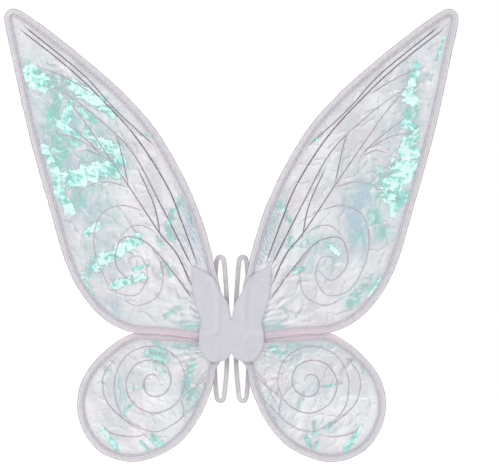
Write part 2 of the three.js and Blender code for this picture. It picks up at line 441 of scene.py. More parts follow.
class Graph:
    """A material with one Principled shader, and short ways to add nodes to it."""

    def __init__(self, name, **sockets):
        self.material = bpy.data.materials.new(name)
        self.material.use_nodes = True
        self.tree = self.material.node_tree
        self.shader = self.tree.nodes["Principled BSDF"]
        for socket, value in sockets.items():
            self.shader.inputs[socket.replace("_", " ")].default_value = value
        self.place = self.add("ShaderNodeTexCoord").outputs["Object"]

    def add(self, kind, **settings):
        node = self.tree.nodes.new(kind)
        for key, value in settings.items():
            setattr(node, key, value)
        return node

    def feed(self, socket, value):
        if isinstance(value, bpy.types.NodeSocket):
            self.tree.links.new(value, socket)
        else:
            socket.default_value = value

    def set(self, name, value):
        self.feed(self.shader.inputs[name], value)

    def thin_film(self):
        """The sheer film's own interference colours."""
        self.shader.inputs["Thin Film Thickness"].default_value = THIN_FILM_NANOMETRES
        self.shader.inputs["Thin Film IOR"].default_value = THIN_FILM_IOR

    def math(self, operation, a, b=0.0, c=0.0, clamp=False):
        node = self.add("ShaderNodeMath", operation=operation, use_clamp=clamp)
        for socket, value in zip(node.inputs, (a, b, c)):
            self.feed(socket, value)
        return node.outputs[0]

    def times(self, a, b):
        return self.math("MULTIPLY", a, b)

    def attribute(self, name):
        return self.add("ShaderNodeAttribute", attribute_name=name).outputs["Fac"]

    def stretched(self, scale, turn=0.0):
        node = self.add("ShaderNodeMapping")
        node.inputs["Rotation"].default_value = (0, turn, 0)
        node.inputs["Scale"].default_value = scale
        self.feed(node.inputs["Vector"], self.place)
        return node.outputs[0]

    def texture(self, kind, vector, inputs, **settings):
        """A texture's outputs. Without a vector it follows the object's own coordinates."""
        node = self.add(kind, **settings)
        self.feed(node.inputs["Vector"], vector or self.place)
        for name, value in inputs.items():
            node.inputs[name].default_value = value
        return node.outputs

    def noise(self, scale, detail=3.0, rough=0.5, warp=0.0, vector=None):
        inputs = {"Scale": scale, "Detail": detail, "Roughness": rough, "Distortion": warp}
        return self.texture("ShaderNodeTexNoise", vector, inputs)["Fac"]

    def warped(self, vector, scale, amount):
        """Coordinates pushed about by noise, which bends straight patterns."""
        push = self.texture("ShaderNodeTexNoise", None, {"Scale": scale, "Detail": 3})
        node = self.add("ShaderNodeVectorMath", operation="MULTIPLY_ADD")
        self.feed(node.inputs[0], push["Color"])
        node.inputs[1].default_value = (amount, amount, amount)
        self.feed(node.inputs[2], vector)
        return node.outputs[0]

    def shards(self, scale, vector):
        """A different value in each cell."""
        cells = self.texture("ShaderNodeTexVoronoi", vector, {"Scale": scale}, feature="F1")
        split = self.add("ShaderNodeSeparateColor")
        self.feed(split.inputs[0], cells["Color"])
        return split.outputs[0]

    def lines(self, value, count, width):
        """Thin lines where a smooth value passes each of count levels."""
        wave = self.math("PINGPONG", self.times(value, count), 0.5)
        return self.level(wave, (0.0, 1.0), (width, 0.0))

    def height(self):
        split = self.add("ShaderNodeSeparateXYZ")
        self.feed(split.inputs[0], self.place)
        return split.outputs[2]

    def cells(self, scale, feature="F1", vector=None):
        return self.texture("ShaderNodeTexVoronoi", vector, {"Scale": scale}, feature=feature)["Distance"]

    def waves(self, scale, warp=0.0, vector=None, direction="X"):
        inputs = {"Scale": scale, "Distortion": warp}
        return self.texture("ShaderNodeTexWave", vector, inputs, bands_direction=direction)["Fac"]

    def ramp(self, factor, *stops):
        node = self.add("ShaderNodeValToRGB")
        elements = node.color_ramp.elements
        while len(elements) < len(stops):
            elements.new(0.5)
        for element, (place, colour) in zip(elements, stops):
            element.position = place
            element.color = srgb(*colour) if len(colour) == 3 else colour
        self.feed(node.inputs[0], factor)
        return node.outputs[0]

    def level(self, factor, *stops):
        """A ramp of plain numbers."""
        return self.ramp(factor, *[(place, (v, v, v, 1)) for place, v in stops])

    def mix(self, factor, a, b):
        node = self.add("ShaderNodeMix", data_type="RGBA")
        self.feed(node.inputs["Factor"], factor)
        self.feed(node.inputs["A"], a)
        self.feed(node.inputs["B"], b)
        return node.outputs["Result"]

    def over(self, colour, factor, strength, tone):
        return self.mix(self.times(factor, strength), colour, srgb(*tone))

    def tinted(self, colour, *tints):
        """The colour with tones laid over it, each mixed in as its factor runs between two stops."""
        for factor, start, end, tone in tints:
            colour = self.mix(self.level(factor, start, end), colour, srgb(*tone))
        return colour

    def mottled(self, pattern, low, high, depth, strength):
        """The finished material, whose colour and bumps both follow one pattern."""
        self.set("Base Color", self.ramp(pattern, low, high))
        self.set("Normal", self.bump(pattern, depth, strength))
        return self.material

    def bump(self, height, distance, strength=1.0, normal=None):
        node = self.add("ShaderNodeBump")
        node.inputs["Distance"].default_value = distance
        node.inputs["Strength"].default_value = strength
        self.feed(node.inputs["Height"], height)
        if normal:
            self.feed(node.inputs["Normal"], normal)
        return node.outputs[0]


LIGHT_LEVEL = 1.2  # how brightly the studio light falls on a surface that faces the viewer


def srgb(r, g, b):
    """The surface colour that looks like these 0 to 255 values under the studio light."""
    def linear(value):
        share = value / 255
        return share / 12.92 if share <= 0.04045 else ((share + 0.055) / 1.055) ** 2.4
    return (linear(r) / LIGHT_LEVEL, linear(g) / LIGHT_LEVEL, linear(b) / LIGHT_LEVEL, 1)


def film_material():
    """Sheer iridescent film: pale lilac, with turquoise shards of painted reflection where its creases catch
    the light, and painted sheen and shade over its folds and along its hem.
    """
    g = Graph("iridescent_film", Roughness=0.26, IOR=1.45, Coat_Weight=0.3, Coat_Roughness=0.1)
    flash, glint, cloud = g.attribute("flash"), g.attribute("glint"), g.attribute("cloud")
    colour = g.ramp(
        g.noise(15, 3, 0.6), (0.36, (214, 221, 225)), (0.5, (221, 220, 226)), (0.63, (232, 219, 227))
    )
    # Broad soft patches: painted sheen where swell is high and painted shade where it is low.
    swell = g.noise(26, 2, 0.45, 0.8, g.stretched((1, 1, 0.6), 0.6))
    grain = g.noise(190, 5, 0.72, 0.9)
    # Painted light and shade on the creases: the value below is high on faces turned to the light and low on
    # faces turned away.
    lean = g.math("MULTIPLY_ADD", g.attribute("slope"), 1.9, 0.5)
    colour = g.tinted(
        colour,
        (swell, (0.46, 0.0), (0.7, 0.9), (242, 242, 246)),
        (swell, (0.3, 0.8), (0.52, 0.0), (198, 203, 210)),
        (grain, (0.54, 0.0), (0.74, 0.5), (250, 249, 252)),
        (grain, (0.28, 0.5), (0.43, 0.0), (186, 190, 200)),
        (lean, (0.56, 0.0), (0.9, 1.0), (252, 251, 254)),
        (lean, (0.12, 0.85), (0.44, 0.0), (160, 170, 180)),
    )
    # Thin dark lines along the wrinkles' edges, in patches: painted shade in the creases.
    patch = g.level(g.noise(24, 3, 0.6), (0.42, 0.15), (0.6, 1.0))
    crease_shade = g.times(g.lines(g.noise(52, 4, 0.6, 1.0), 15, 0.16), patch)
    colour = g.over(colour, crease_shade, 0.4, (150, 160, 170))
    # Painted shade on the film along the hem.
    colour = g.over(colour, g.attribute("rim"), 0.5, (184, 184, 193))

    # Soft turquoise clouds: painted reflection where the creases catch the light.
    streak = g.noise(160, 5, 0.72, 0.6, g.stretched((1, 1, 0.3), 0.75))
    soft = g.times(cloud, g.level(streak, (0.36, 0.25), (0.56, 1.0)))
    soft = g.times(soft, g.level(lean, (0.2, 1.3), (0.8, 0.7)))
    soft_reflection = g.ramp(g.noise(34, 2), (0.42, (156, 214, 207)), (0.62, (184, 208, 220)))
    colour = g.mix(g.math("MINIMUM", soft, 1.0), colour, soft_reflection)
    # Fine rows of creases near the hub: painted pale teal reflection with darker teal lines along them.
    slant = g.waves(80, 0.0, g.warped(g.stretched((1, 1, 0.62), 0.7), 95, 0.012))
    crease_row_reflection = g.times(g.attribute("crease_row_reflection"), g.level(slant, (0.5, 0.0), (0.85, 1.0)))
    crease_row_reflection = g.times(crease_row_reflection, g.level(g.noise(110, 2), (0.4, 0.1), (0.52, 1.0)))
    colour = g.over(colour, g.attribute("crease_row_reflection"), 0.3, (190, 208, 218))
    colour = g.over(colour, crease_row_reflection, 0.9, (122, 168, 184))

    # Turquoise shards: painted reflection where the creases catch the light, brighter on faces turned to the
    # light.
    large = g.shards(95, g.warped(g.stretched((1, 1, 2.2), 0.55), 60, 0.012))
    sparkle = g.noise(105, 5, 0.66, 1.2, g.warped(g.stretched((1, 1, 0.42), 0.8), 50, 0.01))
    value = g.math("MULTIPLY_ADD", g.math("SUBTRACT", large, 0.5), 0.36, flash)
    value = g.math("MULTIPLY_ADD", g.math("SUBTRACT", sparkle, 0.5), 1.0, value)
    value = g.math("MULTIPLY_ADD", g.attribute("slope"), 0.5, value)
    mask = g.level(value, (0.42, 0.0), (0.56, 1.0))
    facet = g.level(large, (0.2, 0.62), (0.36, 0.82), (0.5, 1.05))
    tone = g.times(glint, g.level(sparkle, (0.36, 0.4), (0.5, 0.82), (0.58, 1.0)))
    tone = g.times(tone, facet)
    tone = g.math("MULTIPLY_ADD", g.attribute("slope"), 1.2, tone)
    glow = g.ramp(
        tone,
        (0.2, (172, 200, 201)), (0.4, (152, 208, 200)), (0.56, (158, 226, 217)),
        (0.72, (188, 246, 239)), (0.92, (226, 255, 252)),
    )
    whole = g.math("MULTIPLY_ADD", glint, 2.0, -1.0)
    wisp = g.math("ADD", g.level(streak, (0.4, 0.0), (0.6, 1.0)), whole, clamp=True)
    weight = g.times(mask, wisp)
    colour = g.mix(weight, colour, glow)
    # A darker teal line painted round the edges of the painted reflection.
    edge = g.times(g.level(value, (0.36, 0.0), (0.45, 1.0), (0.56, 0.0)), glint)
    colour = g.mix(g.math("MULTIPLY", edge, 0.6, clamp=True), colour, srgb(118, 170, 164))
    g.set("Base Color", colour)
    bright = g.math("MAXIMUM", weight, g.times(soft, 0.7))
    g.set("Alpha", g.level(bright, (0.0, 0.5), (1.0, 0.94)))
    ridges = g.cells(130, "DISTANCE_TO_EDGE", g.warped(g.place, 70, 0.01))
    crumple = g.bump(g.level(ridges, (0.0, 0.0), (0.2, 1.0)), 0.0006, 0.4)
    g.set("Normal", g.bump(g.math("ADD", grain, g.times(mask, 0.6)), 0.0006, 0.35, crumple))
    g.thin_film()
    return g.material


def ink_material():
    """Printed glitter ink: near black where the veins are strong, dusty pink where they are faint,
    between two pale embossed lips."""
    g = Graph("glitter_ink", Roughness=0.35, Metallic=0.1)
    tone, ink = g.attribute("tone"), g.attribute("ink")
    speck = g.cells(2600)
    pale = g.ramp(g.noise(90, 3), (0.35, (210, 188, 202)), (0.65, (186, 174, 186)))
    dark = g.ramp(g.noise(240, 3), (0.3, (34, 28, 36)), (0.7, (78, 68, 78)))
    colour = g.mix(g.level(tone, (0.0, 0.0), (1.0, 1.0)), pale, dark)
    colour = g.tinted(colour, (speck, (0.1, 0.4), (0.2, 0.0), (240, 236, 244)))
    lip = g.ramp(g.noise(130, 3), (0.35, (234, 222, 231)), (0.65, (243, 236, 244)))
    g.set("Base Color", g.mix(ink, lip, colour))
    g.set("Alpha", g.level(ink, (0.1, 0.4), (0.7, 0.94)))
    g.set("Normal", g.bump(speck, 0.0003, 0.6))
    return g.material


def casing_material():
    """The hem: the same film folded over the wire. Its layers show as lines along it; the darker bands either
    side of the wire are painted shade and the light band over it a painted highlight.
    """
    g = Graph("film_casing", Roughness=0.34, Coat_Weight=0.2, Coat_Roughness=0.2)
    across = g.attribute("across")
    bend = g.times(g.math("SUBTRACT", g.noise(120, 3, 0.6), 0.5), 0.08)
    # Across the hem: darker at both edges, painted shade on either side of the wire, and a painted highlight
    # over the wire's crest.
    colour = g.ramp(
        g.math("ADD", across, bend),
        (0.0, (196, 190, 202)), (0.09, (202, 196, 208)), (0.13, (234, 232, 238)), (0.22, (232, 229, 236)),
        (0.27, (190, 184, 197)), (0.34, (194, 188, 200)), (0.39, (232, 230, 236)), (0.52, (243, 242, 246)),
        (0.62, (214, 210, 219)), (0.7, (210, 206, 216)), (0.76, (235, 233, 239)), (0.87, (230, 228, 234)),
        (0.93, (164, 156, 171)), (1.0, (148, 140, 156)),
    )
    fleck = g.noise(210, 5, 0.75, 0.8)
    colour = g.tinted(
        colour,
        (fleck, (0.5, 0.0), (0.68, 0.6), (246, 243, 250)),
        (fleck, (0.3, 0.5), (0.46, 0.0), (180, 174, 190)),
    )
    low = g.math("MULTIPLY_ADD", g.height(), 10.0, 0.5)
    hem = g.level(low, (0.38, 0.1), (0.47, 1.0), (0.56, 0.9), (0.66, 0.1))
    pink = g.times(hem, g.level(g.noise(40, 4, 0.6), (0.4, 0.45), (0.6, 0.85)))
    colour = g.mix(pink, colour, srgb(238, 217, 229))
    g.set("Base Color", colour)
    g.set("Alpha", 0.68)
    g.set("Normal", g.bump(fleck, 0.0007, 0.5))
    g.thin_film()
    return g.material


def felt_material():
    """Short matted fibres: a soft mottle, fine lint and a dull sheen, with painted light and shade over the
    relief that pushes the front cover out.
    """
    g = Graph("felt", Roughness=0.92, Sheen_Weight=0.35, Sheen_Roughness=0.6)
    mottle = g.noise(75, 4, 0.65)
    base = g.ramp(mottle, (0.3, (203, 202, 211)), (0.7, (211, 210, 219)))
    fibre = g.noise(900, 5, 0.75, 1.8, g.stretched((1, 1, 2.2), 0.6))
    other = g.noise(1100, 4, 0.7, 1.5, g.stretched((2.4, 1, 1), -0.3))
    lint = g.math("MAXIMUM", fibre, other)
    # Painted light and shade on the felt's relief: lighter on faces turned to the light, darker on faces
    # turned away.
    lean = g.math("MULTIPLY_ADD", g.attribute("slope"), 1.5, 0.5)
    base = g.tinted(
        base,
        (lint, (0.5, 0.0), (0.72, 0.4), (222, 221, 229)),
        (lean, (0.52, 0.0), (0.9, 0.4), (226, 225, 232)),
        (lean, (0.1, 0.4), (0.48, 0.0), (186, 184, 195)),
    )
    base = g.over(base, g.attribute("cut"), 0.35, (178, 175, 188))
    g.set("Base Color", base)
    g.set("Normal", g.bump(lint, 0.0006, 0.7))
    return g.material


def elastic_material():
    """Satin elastic, with its fine cross threads."""
    g = Graph("elastic", Roughness=0.42, Sheen_Weight=0.3, Sheen_Roughness=0.4, Specular_IOR_Level=0.6)
    shade = g.noise(60, 3)
    base = g.ramp(shade, (0.35, (224, 221, 223)), (0.65, (248, 246, 247)))
    # Painted shade along the ribbon's edges and in the grooves between its ribs.
    base = g.tinted(base, (g.attribute("edge"), (0.5, 0.0), (1.0, 0.85), (156, 152, 157)))
    base = g.over(base, g.attribute("groove"), 0.4, (160, 156, 162))
    weft = g.waves(900, 0.6, direction="Z")
    base = g.tinted(base, (weft, (0.5, 0.0), (1.0, 0.35), (230, 228, 230)))
    g.set("Base Color", base)
    g.set("Normal", g.bump(weft, 0.00025, 0.6))
    return g.material


def thread_material():
    g = Graph("thread", Roughness=0.6, Sheen_Weight=0.3)
    twist = g.waves(2400, 0.4, direction="DIAGONAL")
    return g.mottled(twist, (0.2, (188, 178, 192)), (0.8, (228, 222, 230)), 0.0001, 0.6)


def wire_material():
    g = Graph("galvanised_wire", Metallic=0.95, Roughness=0.34)
    g.set("Base Color", g.ramp(g.noise(180, 4, 0.7), (0.3, (168, 170, 174)), (0.7, (206, 208, 212))))
    g.set("Roughness", g.level(g.noise(600, 3), (0.3, 0.26), (0.7, 0.46)))
    g.set("Normal", g.bump(g.noise(1500, 2), 0.00006, 0.5))
    return g.material


def tube_material():
    g = Graph("heat_shrink_tube", Roughness=0.42, Coat_Weight=0.2)
    g.set("Base Color", g.ramp(g.noise(300, 3), (0.3, (222, 222, 228)), (0.7, (238, 238, 242))))
    g.set("Normal", g.bump(g.noise(700, 3), 0.0001, 0.5))
    return g.material


def board_material():
    g = Graph("grey_board", Roughness=0.9)
    pulp = g.noise(500, 5, 0.7)
    return g.mottled(pulp, (0.35, (188, 184, 176)), (0.65, (214, 210, 202)), 0.0002, 0.5)


def wadding_material():
    g = Graph("polyester_wadding", Roughness=1.0, Sheen_Weight=0.5, Sheen_Roughness=0.7)
    fluff = g.noise(260, 6, 0.8, 2.0)
    return g.mottled(fluff, (0.3, (226, 226, 230)), (0.7, (246, 246, 248)), 0.0012, 0.9)


def floor_material():
    g = Graph("white_paper", Roughness=0.9)
    g.set("Base Color", g.ramp(g.noise(3, 2), (0.3, (0.95, 0.95, 0.955, 1)), (0.7, (0.98, 0.98, 0.98, 1))))
    return g.material


MATERIALS = {
    "film": film_material(),
    "ink": ink_material(),
    "casing": casing_material(),
    "felt": felt_material(),
    "elastic": elastic_material(),
    "thread": thread_material(),
    "wire": wire_material(),
    "tube": tube_material(),
    "board": board_material(),
    "wadding": wadding_material(),
}


def add_attribute(piece, name, values):
    layer = piece.data.attributes.new(name, "FLOAT", "POINT")
    layer.data.foreach_set("value", np.asarray(values, np.float32))


# ---------------------------------------------------------------- film

FILM_THICKNESS = 0.3
FILM_PITCH = 2.1
FILM_TUCK = 1.6  # how far inside the hem's middle line the film ends
FILM_CREASE = 1.15  # the height of the tallest creases
FOLD_COUNT = 34  # the tension folds that would fill a whole turn about the root
FOLD_REACH = 130  # how far from the root they die away
PUCKER_PITCH = 7.5  # along the hem
SEEDS = {("right", "upper"): 3.1, ("left", "upper"): 11.7, ("right", "lower"): 23.9, ("left", "lower"): 37.3}

# Where each wing's creases catch the light, as the viewer sees them: strokes from (x, z) to (x, z)
# with a radius, in millimetres, and a strength. Flashes break up into bright shards; clouds stay soft.
FLASHES = {
    ("left", "upper"): (
        (-255, 335, -240, 320, 10, 1), (-225, 330, -210, 315, 7, 0.55), (-205, 320, -165, 295, 7, 1.1),
        (-160, 290, -150, 280, 3, 0.9), (-220, 300, -230, 280, 6, 0.7), (-205, 295, -210, 275, 6, 1),
        (-190, 285, -175, 275, 5, 0.8), (-220, 270, -195, 255, 5, 1.05), (-185, 260, -175, 250, 3, 0.9),
        (-220, 250, -220, 235, 10, 0.6), (-200, 250, -195, 245, 5, 0.6), (-240, 240, -225, 215, 5, 1.1),
        (-225, 215, -220, 185, 5, 1.1), (-220, 185, -205, 160, 6, 1), (-205, 200, -150, 215, 10, 1.1),
        (-150, 215, -145, 205, 6, 0.9), (-165, 245, -145, 235, 7, 1.05), (-145, 235, -140, 220, 5, 0.8),
        (-185, 130, -170, 140, 4, 0.95), (-175, 90, -120, 122, 7, 1.2), (-185, 80, -175, 95, 6, 0.65),
        (-150, 64, -115, 75, 5, 1.15), (-125, 85, -105, 90, 2.5, 0.9), (-190, 75, -175, 50, 1.5, 1.1),
        (-65, 175, -70, 160, 2.5, 0.6), (-75, 160, -80, 145, 3, 0.6), (-80, 135, -75, 125, 4, 0.6),
        (-95, 125, -90, 115, 2.5, 0.55), (-85, 90, -80, 80, 5, 0.5), (-85, 25, -60, 40, 3, 0.4),
        (-115, 255, -100, 255, 1.5, 0.7),
    ),
    ("right", "upper"): (
        (270, 380, 260, 350, 1.5, 0.8), (235, 345, 230, 325, 4, 0.85), (230, 325, 225, 310, 5, 1.05),
        (225, 305, 230, 300, 7, 1.1), (230, 285, 225, 280, 7, 0.7), (220, 270, 230, 265, 7, 1.1),
        (230, 255, 225, 245, 7, 0.8), (220, 235, 230, 235, 9, 1.1), (210, 215, 230, 215, 9, 1.2),
        (200, 195, 220, 205, 10, 1.2), (210, 185, 220, 175, 7, 1), (195, 180, 205, 170, 6, 1.05),
        (205, 165, 205, 155, 4, 1.1), (190, 210, 190, 195, 5, 0.65), (175, 155, 185, 145, 3, 0.55),
        (210, 165, 215, 170, 5, 0.8), (125, 115, 135, 105, 3, 1.2), (80, 85, 90, 85, 4, 0.8),
        (190, 75, 175, 50, 1.5, 1), (180, 70, 150, 40, 4, 0.5), (65, 35, 80, 25, 3, 0.4),
        (60, 170, 75, 145, 2.5, 0.6), (75, 125, 75, 115, 4, 0.6), (95, 120, 85, 110, 2.5, 0.5),
        (100, 245, 115, 255, 1.5, 0.6), (250, 330, 255, 325, 3, 0.5),
    ),
    ("left", "lower"): (
        (-95, -10, -90, -15, 5, 0.55), (-105, -20, -85, -30, 6, 0.6), (-95, -35, -90, -45, 5, 0.5),
        (-50, -30, -60, -70, 4, 0.6), (-75, -12, -45, -12, 2.5, 0.5), (-130, -65, -110, -65, 1.5, 0.5),
        (-125, -85, -140, -100, 1.5, 0.7), (-165, -115, -155, -130, 2, 0.9), (-155, -130, -145, -145, 3, 0.8),
        (-100, -130, -90, -140, 4, 0.8), (-115, -135, -105, -145, 2, 0.7), (-165, -30, -160, -45, 2.5, 0.4),
        (-45, -65, -55, -80, 2.5, 0.5), (-35, -60, -50, -95, 2, 0.45),
    ),
    ("right", "lower"): (
        (50, -15, 65, -25, 3, 0.6), (70, -12, 85, -10, 2.5, 0.4), (70, -35, 85, -25, 2.5, 0.4),
        (115, -65, 140, -60, 1.5, 0.6), (85, -90, 90, -80, 2.5, 0.5), (150, -30, 155, -30, 2.5, 0.4),
        (165, -35, 170, -50, 2, 0.45), (105, -110, 105, -125, 3, 0.8), (130, -110, 120, -120, 2.5, 0.7),
        (95, -130, 100, -140, 3, 0.75), (110, -135, 105, -145, 1.5, 0.7), (165, -115, 155, -130, 2, 0.9),
        (155, -130, 145, -145, 3, 0.8), (30, -55, 40, -80, 2.5, 0.5), (45, -95, 55, -105, 2.5, 0.4),
    ),
}
CLOUDS = {
    ("left", "upper"): (
        (-255, 335, -205, 305, 14, 0.9), (-225, 300, -215, 205, 18, 1), (-200, 220, -150, 225, 16, 0.9),
        (-190, 305, -150, 285, 9, 0.8), (-215, 275, -170, 260, 15, 0.85), (-175, 250, -150, 240, 12, 0.8),
        (-240, 265, -230, 230, 10, 0.8),
        (-200, 180, -175, 165, 20, 0.9), (-155, 145, -150, 150, 11, 0.6), (-190, 50, -150, 35, 10, 0.8),
        (-180, 110, -140, 135, 15, 0.35), (-60, 170, -50, 115, 6, 0.5), (-235, 350, -230, 340, 15, 0.3),
        (-165, 70, -140, 85, 15, 0.3), (-65, 15, -40, 12, 5, 1.1),
    ),
    ("right", "upper"): (
        (230, 330, 225, 260, 10, 0.8), (220, 240, 205, 170, 13, 0.9), (210, 260, 225, 225, 19, 0.45),
        (180, 185, 155, 165, 18, 1.1), (155, 160, 165, 120, 15, 1.1), (180, 155, 190, 130, 12, 1),
        (105, 115, 130, 110, 15, 0.8), (100, 95, 120, 95, 11, 0.5), (170, 60, 150, 45, 10, 0.7),
        (35, 120, 45, 155, 7, 0.55), (245, 370, 260, 350, 11, 0.35), (240, 355, 225, 345, 7, 0.3),
        (180, 75, 180, 65, 7, 0.6), (35, 12, 60, 12, 5, 1.1),
    ),
    ("left", "lower"): (
        (-140, -60, -140, -85, 10, 0.5), (-90, -18, -65, -18, 11, 0.4), (-55, -55, -60, -95, 10, 0.45),
        (-115, -100, -90, -105, 10, 0.25),
    ),
    ("right", "lower"): (
        (60, -18, 125, -8, 9, 0.5), (75, -30, 85, -40, 9, 0.35), (40, -75, 55, -105, 9, 0.4),
        (100, -65, 125, -80, 10, 0.3), (100, -125, 125, -115, 10, 0.35),
    ),
}

# Strokes near the hub, drawn for the right, where the creases lie in fine rows: painted teal reflection with
# darker teal lines along the rows.
HATCHED = (
    (38, 96, 46, 128, 6, 1), (44, 126, 58, 166, 6, 1), (52, 100, 60, 122, 4, 0.6),
)


GLOW_FALL = 2.6  # how sharply a stroke's strength falls off past its radius


def glow(points, side, strokes):
    """How strongly the strokes reach each point, and the strength of the one that reaches most."""
    reach = np.zeros(len(points))
    strengths = np.zeros(len(points))
    for ax, az, bx, bz, radius, strength in strokes:
        stroke = np.array([(ax * side, az), (bx * side, bz)], float)
        distance, _ = nearest(points, stroke)
        near = 1 / (1 + (distance / radius) ** GLOW_FALL)
        closer = near > reach
        reach[closer] = near[closer]
        strengths[closer] = strength
    return reach, strengths


def film_height(wing, side, points):
    """How far the film stands towards the wearer at each point, in millimetres."""
    seed = SEEDS[side, wing.tier]
    distance, along = nearest(points, wing.line)
    broad = wobbles(points, 46, seed)
    fine = wobbles(points, 15, seed + 5, 4)
    ridge = 1 - np.minimum(1, np.abs(wobbles(points + 9 * broad[:, None], 24, seed + 9, 2)) * 3.2)
    root = np.array([wing.root_x, 15 if wing.tier == "upper" else -18])
    from_root = points - root
    reach = np.linalg.norm(from_root, axis=1)
    angle = np.arctan2(from_root[:, 1], from_root[:, 0])
    pull = np.sin(angle * FOLD_COUNT + 4 * broad) * np.exp(-reach / FOLD_REACH) * (0.4 + np.abs(broad))
    pucker = np.sin(along * 2 * math.pi / PUCKER_PITCH + 6 * fine)
    pucker *= np.exp(-(((distance - CASING_HALF) / 6) ** 2))
    shard = 1 - np.minimum(1, np.abs(wobbles(points + 4 * fine[:, None], 9, seed + 13, 2)) * 2.6)
    crumple, _ = glow(points, SIDES[side], [(*f[:4], f[4] * 1.8, 1) for f in FLASHES[side, wing.tier]])
    height = 0.55 * broad + 0.3 * fine + 0.6 * ridge**3 + 0.55 * pull + 0.25 * pucker
    height += crumple * (0.7 * fine + 0.4 * ridge + 0.6 * shard)
    height = FILM_CREASE * np.tanh(height / FILM_CREASE)
    return height * (1 - np.exp(-((np.maximum(distance - 3, 0) / 5) ** 2)))


LIT_FROM = np.array([-0.64, 0.77])  # the way that the creases' lit faces lean
SLOPE_STEP = 1.3  # how far to each side a slope looks


def steepness(height, points):
    """How steeply height(points) rises towards LIT_FROM."""
    step = LIT_FROM * SLOPE_STEP
    return (height(points + step) - height(points - step)) / (2 * SLOPE_STEP)


def make_film(side, tier):
    wing, sign = WINGS[tier], SIDES[side]
    hem = even(wing.cased, FILM_PITCH)
    outline = hem - outwards(hem) * FILM_TUCK
    flat, faces = filled(outline, FILM_PITCH)
    height = film_height(wing, side, flat)
    front = wing.y + height - FILM_THICKNESS / 2
    points, solid = slab(flat, faces, front, front + FILM_THICKNESS)
    piece = make_piece(f"film_{side}_{tier}", points, solid, MATERIALS["film"], side)
    flash, glint = glow(flat, sign, FLASHES[side, tier])
    cloud, density = glow(flat, sign, CLOUDS[side, tier])
    crease_row_reflection, _ = glow(flat, 1, HATCHED)
    distance, _ = nearest(flat, wing.line)
    # How near the hem each point is, for the painted shade there.
    rim = np.exp(-(((distance - CASING_HALF) / 4) ** 2))
    # The creases' slope towards the light, kept for the painted light and shade and the painted reflections.
    slope = steepness(lambda places: film_height(wing, side, places), flat)
    values = {
        "flash": flash, "glint": glint, "cloud": cloud * density, "crease_row_reflection": crease_row_reflection, "rim": rim, "slope": slope,
    }
    for name, field in values.items():
        add_attribute(piece, name, np.concatenate([field, field]))
    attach(piece, f"{side}_wings")
    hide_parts(f"{side}_{tier}_film")


# ---------------------------------------------------------------- printed veins

# A vein's outline from its middle outwards: half width, how far it stands off the film, and whether
# that is ink.
VEIN = ((0.0, 0.13, 1), (0.34, 0.11, 1), (0.5, 0.05, 0), (1.1, 0.02, 0))
VEIN_PITCH = 1.6
VEIN_TAPER = 7  # how many points a vein takes to narrow at each end
VEIN_TIP = 0.3  # its share of its width there

# Each line's points, and how dark it is at its first and its last.
UPPER_VEINS = (
    (((264, 394), (184, 328), (149, 289), (98, 242)), (1.0, 0.7)),
    (((269, 390), (212, 345), (173, 309), (121, 252), (80, 187), (65, 150), (44, 93)), (0.9, 1.1)),
    (((248, 343), (216, 331), (175, 307)), (0.1, 0.5)),
    (((246, 319), (216, 311), (155, 264), (125, 232), (90, 167), (51, 90)), (0.0, 1.2)),
    (((120, 215), (98, 165), (90, 126)), (0.7, 0.9)),
    (((149, 260), (144, 248), (131, 192)), (0.5, 0.8)),
    (((216, 309), (197, 286), (177, 258), (131, 191), (89, 128), (70, 105), (51, 65)), (0.1, 1.2)),
    (((211, 271), (181, 246), (163, 228)), (0.3, 0.6)),
    (((229, 259), (201, 253), (171, 236)), (0.0, 0.4)),
    (((196, 233), (184, 236), (163, 227)), (0.2, 0.6)),
    (((202, 167), (187, 188), (159, 196), (131, 189)), (0.0, 0.4)),
    (((146, 121), (126, 140), (109, 139), (95, 130)), (0.0, 0.35)),
    (((111, 159), (141, 166), (165, 155), (175, 124), (167, 86), (146, 56), (120, 53), (107, 77),
      (116, 101), (130, 98), (127, 88)), (0.25, 0.1)),
    (((108, 86), (126, 71), (147, 91), (139, 124), (112, 121), (75, 82), (49, 46)), (0.1, 0.9)),
    (((103, 115), (88, 86), (93, 52), (120, 39), (144, 50)), (0.1, 0.1)),
)

# The lower wing's spiral: where its centre is, its distance from there at each quarter turn, clockwise
# from the side nearest the hub, and the line that carries it on to the root.
SPIRAL_CENTRE = (100, -58)
SPIRAL_QUARTERS = (8, 9, 11, 19, 23, 27, 34, 40, 41, 45, 49, 64)
SPIRAL_TAIL = ((72, -111), (62, -101), (61, -90), (63, -80), (42, -62), (27, -45))
SPIRAL_TONES = (0.35, 0.15)
LOWER_VEINS = (
    (((146, -27), (163, -51), (159, -83), (134, -108), (118, -119)), (0.1, 0.5)),
    (((165, -113), (154, -123), (122, -128), (108, -124)), (0.3, 0.2)),
    (((27, -40), (40, -55), (60, -92)), (0.1, 0.1)),
    (((24, -48), (34, -72), (68, -109)), (0.1, 0.1)),
)


def spiral():
    """The spiral's points, from its centre out to the root."""
    x, z = SPIRAL_CENTRE
    last = len(SPIRAL_QUARTERS) - 1
    points = []
    for quarter in np.arange(0, last + 0.5, 0.5):
        distance = np.interp(quarter, range(last + 1), SPIRAL_QUARTERS)
        angle = math.pi - quarter * math.pi / 2
        points.append((x + distance * math.cos(angle), z + distance * math.sin(angle)))
    return (*points, *SPIRAL_TAIL)


def vein_lines(tier):
    if tier == "upper":
        return UPPER_VEINS
    return ((spiral(), SPIRAL_TONES), *LOWER_VEINS)


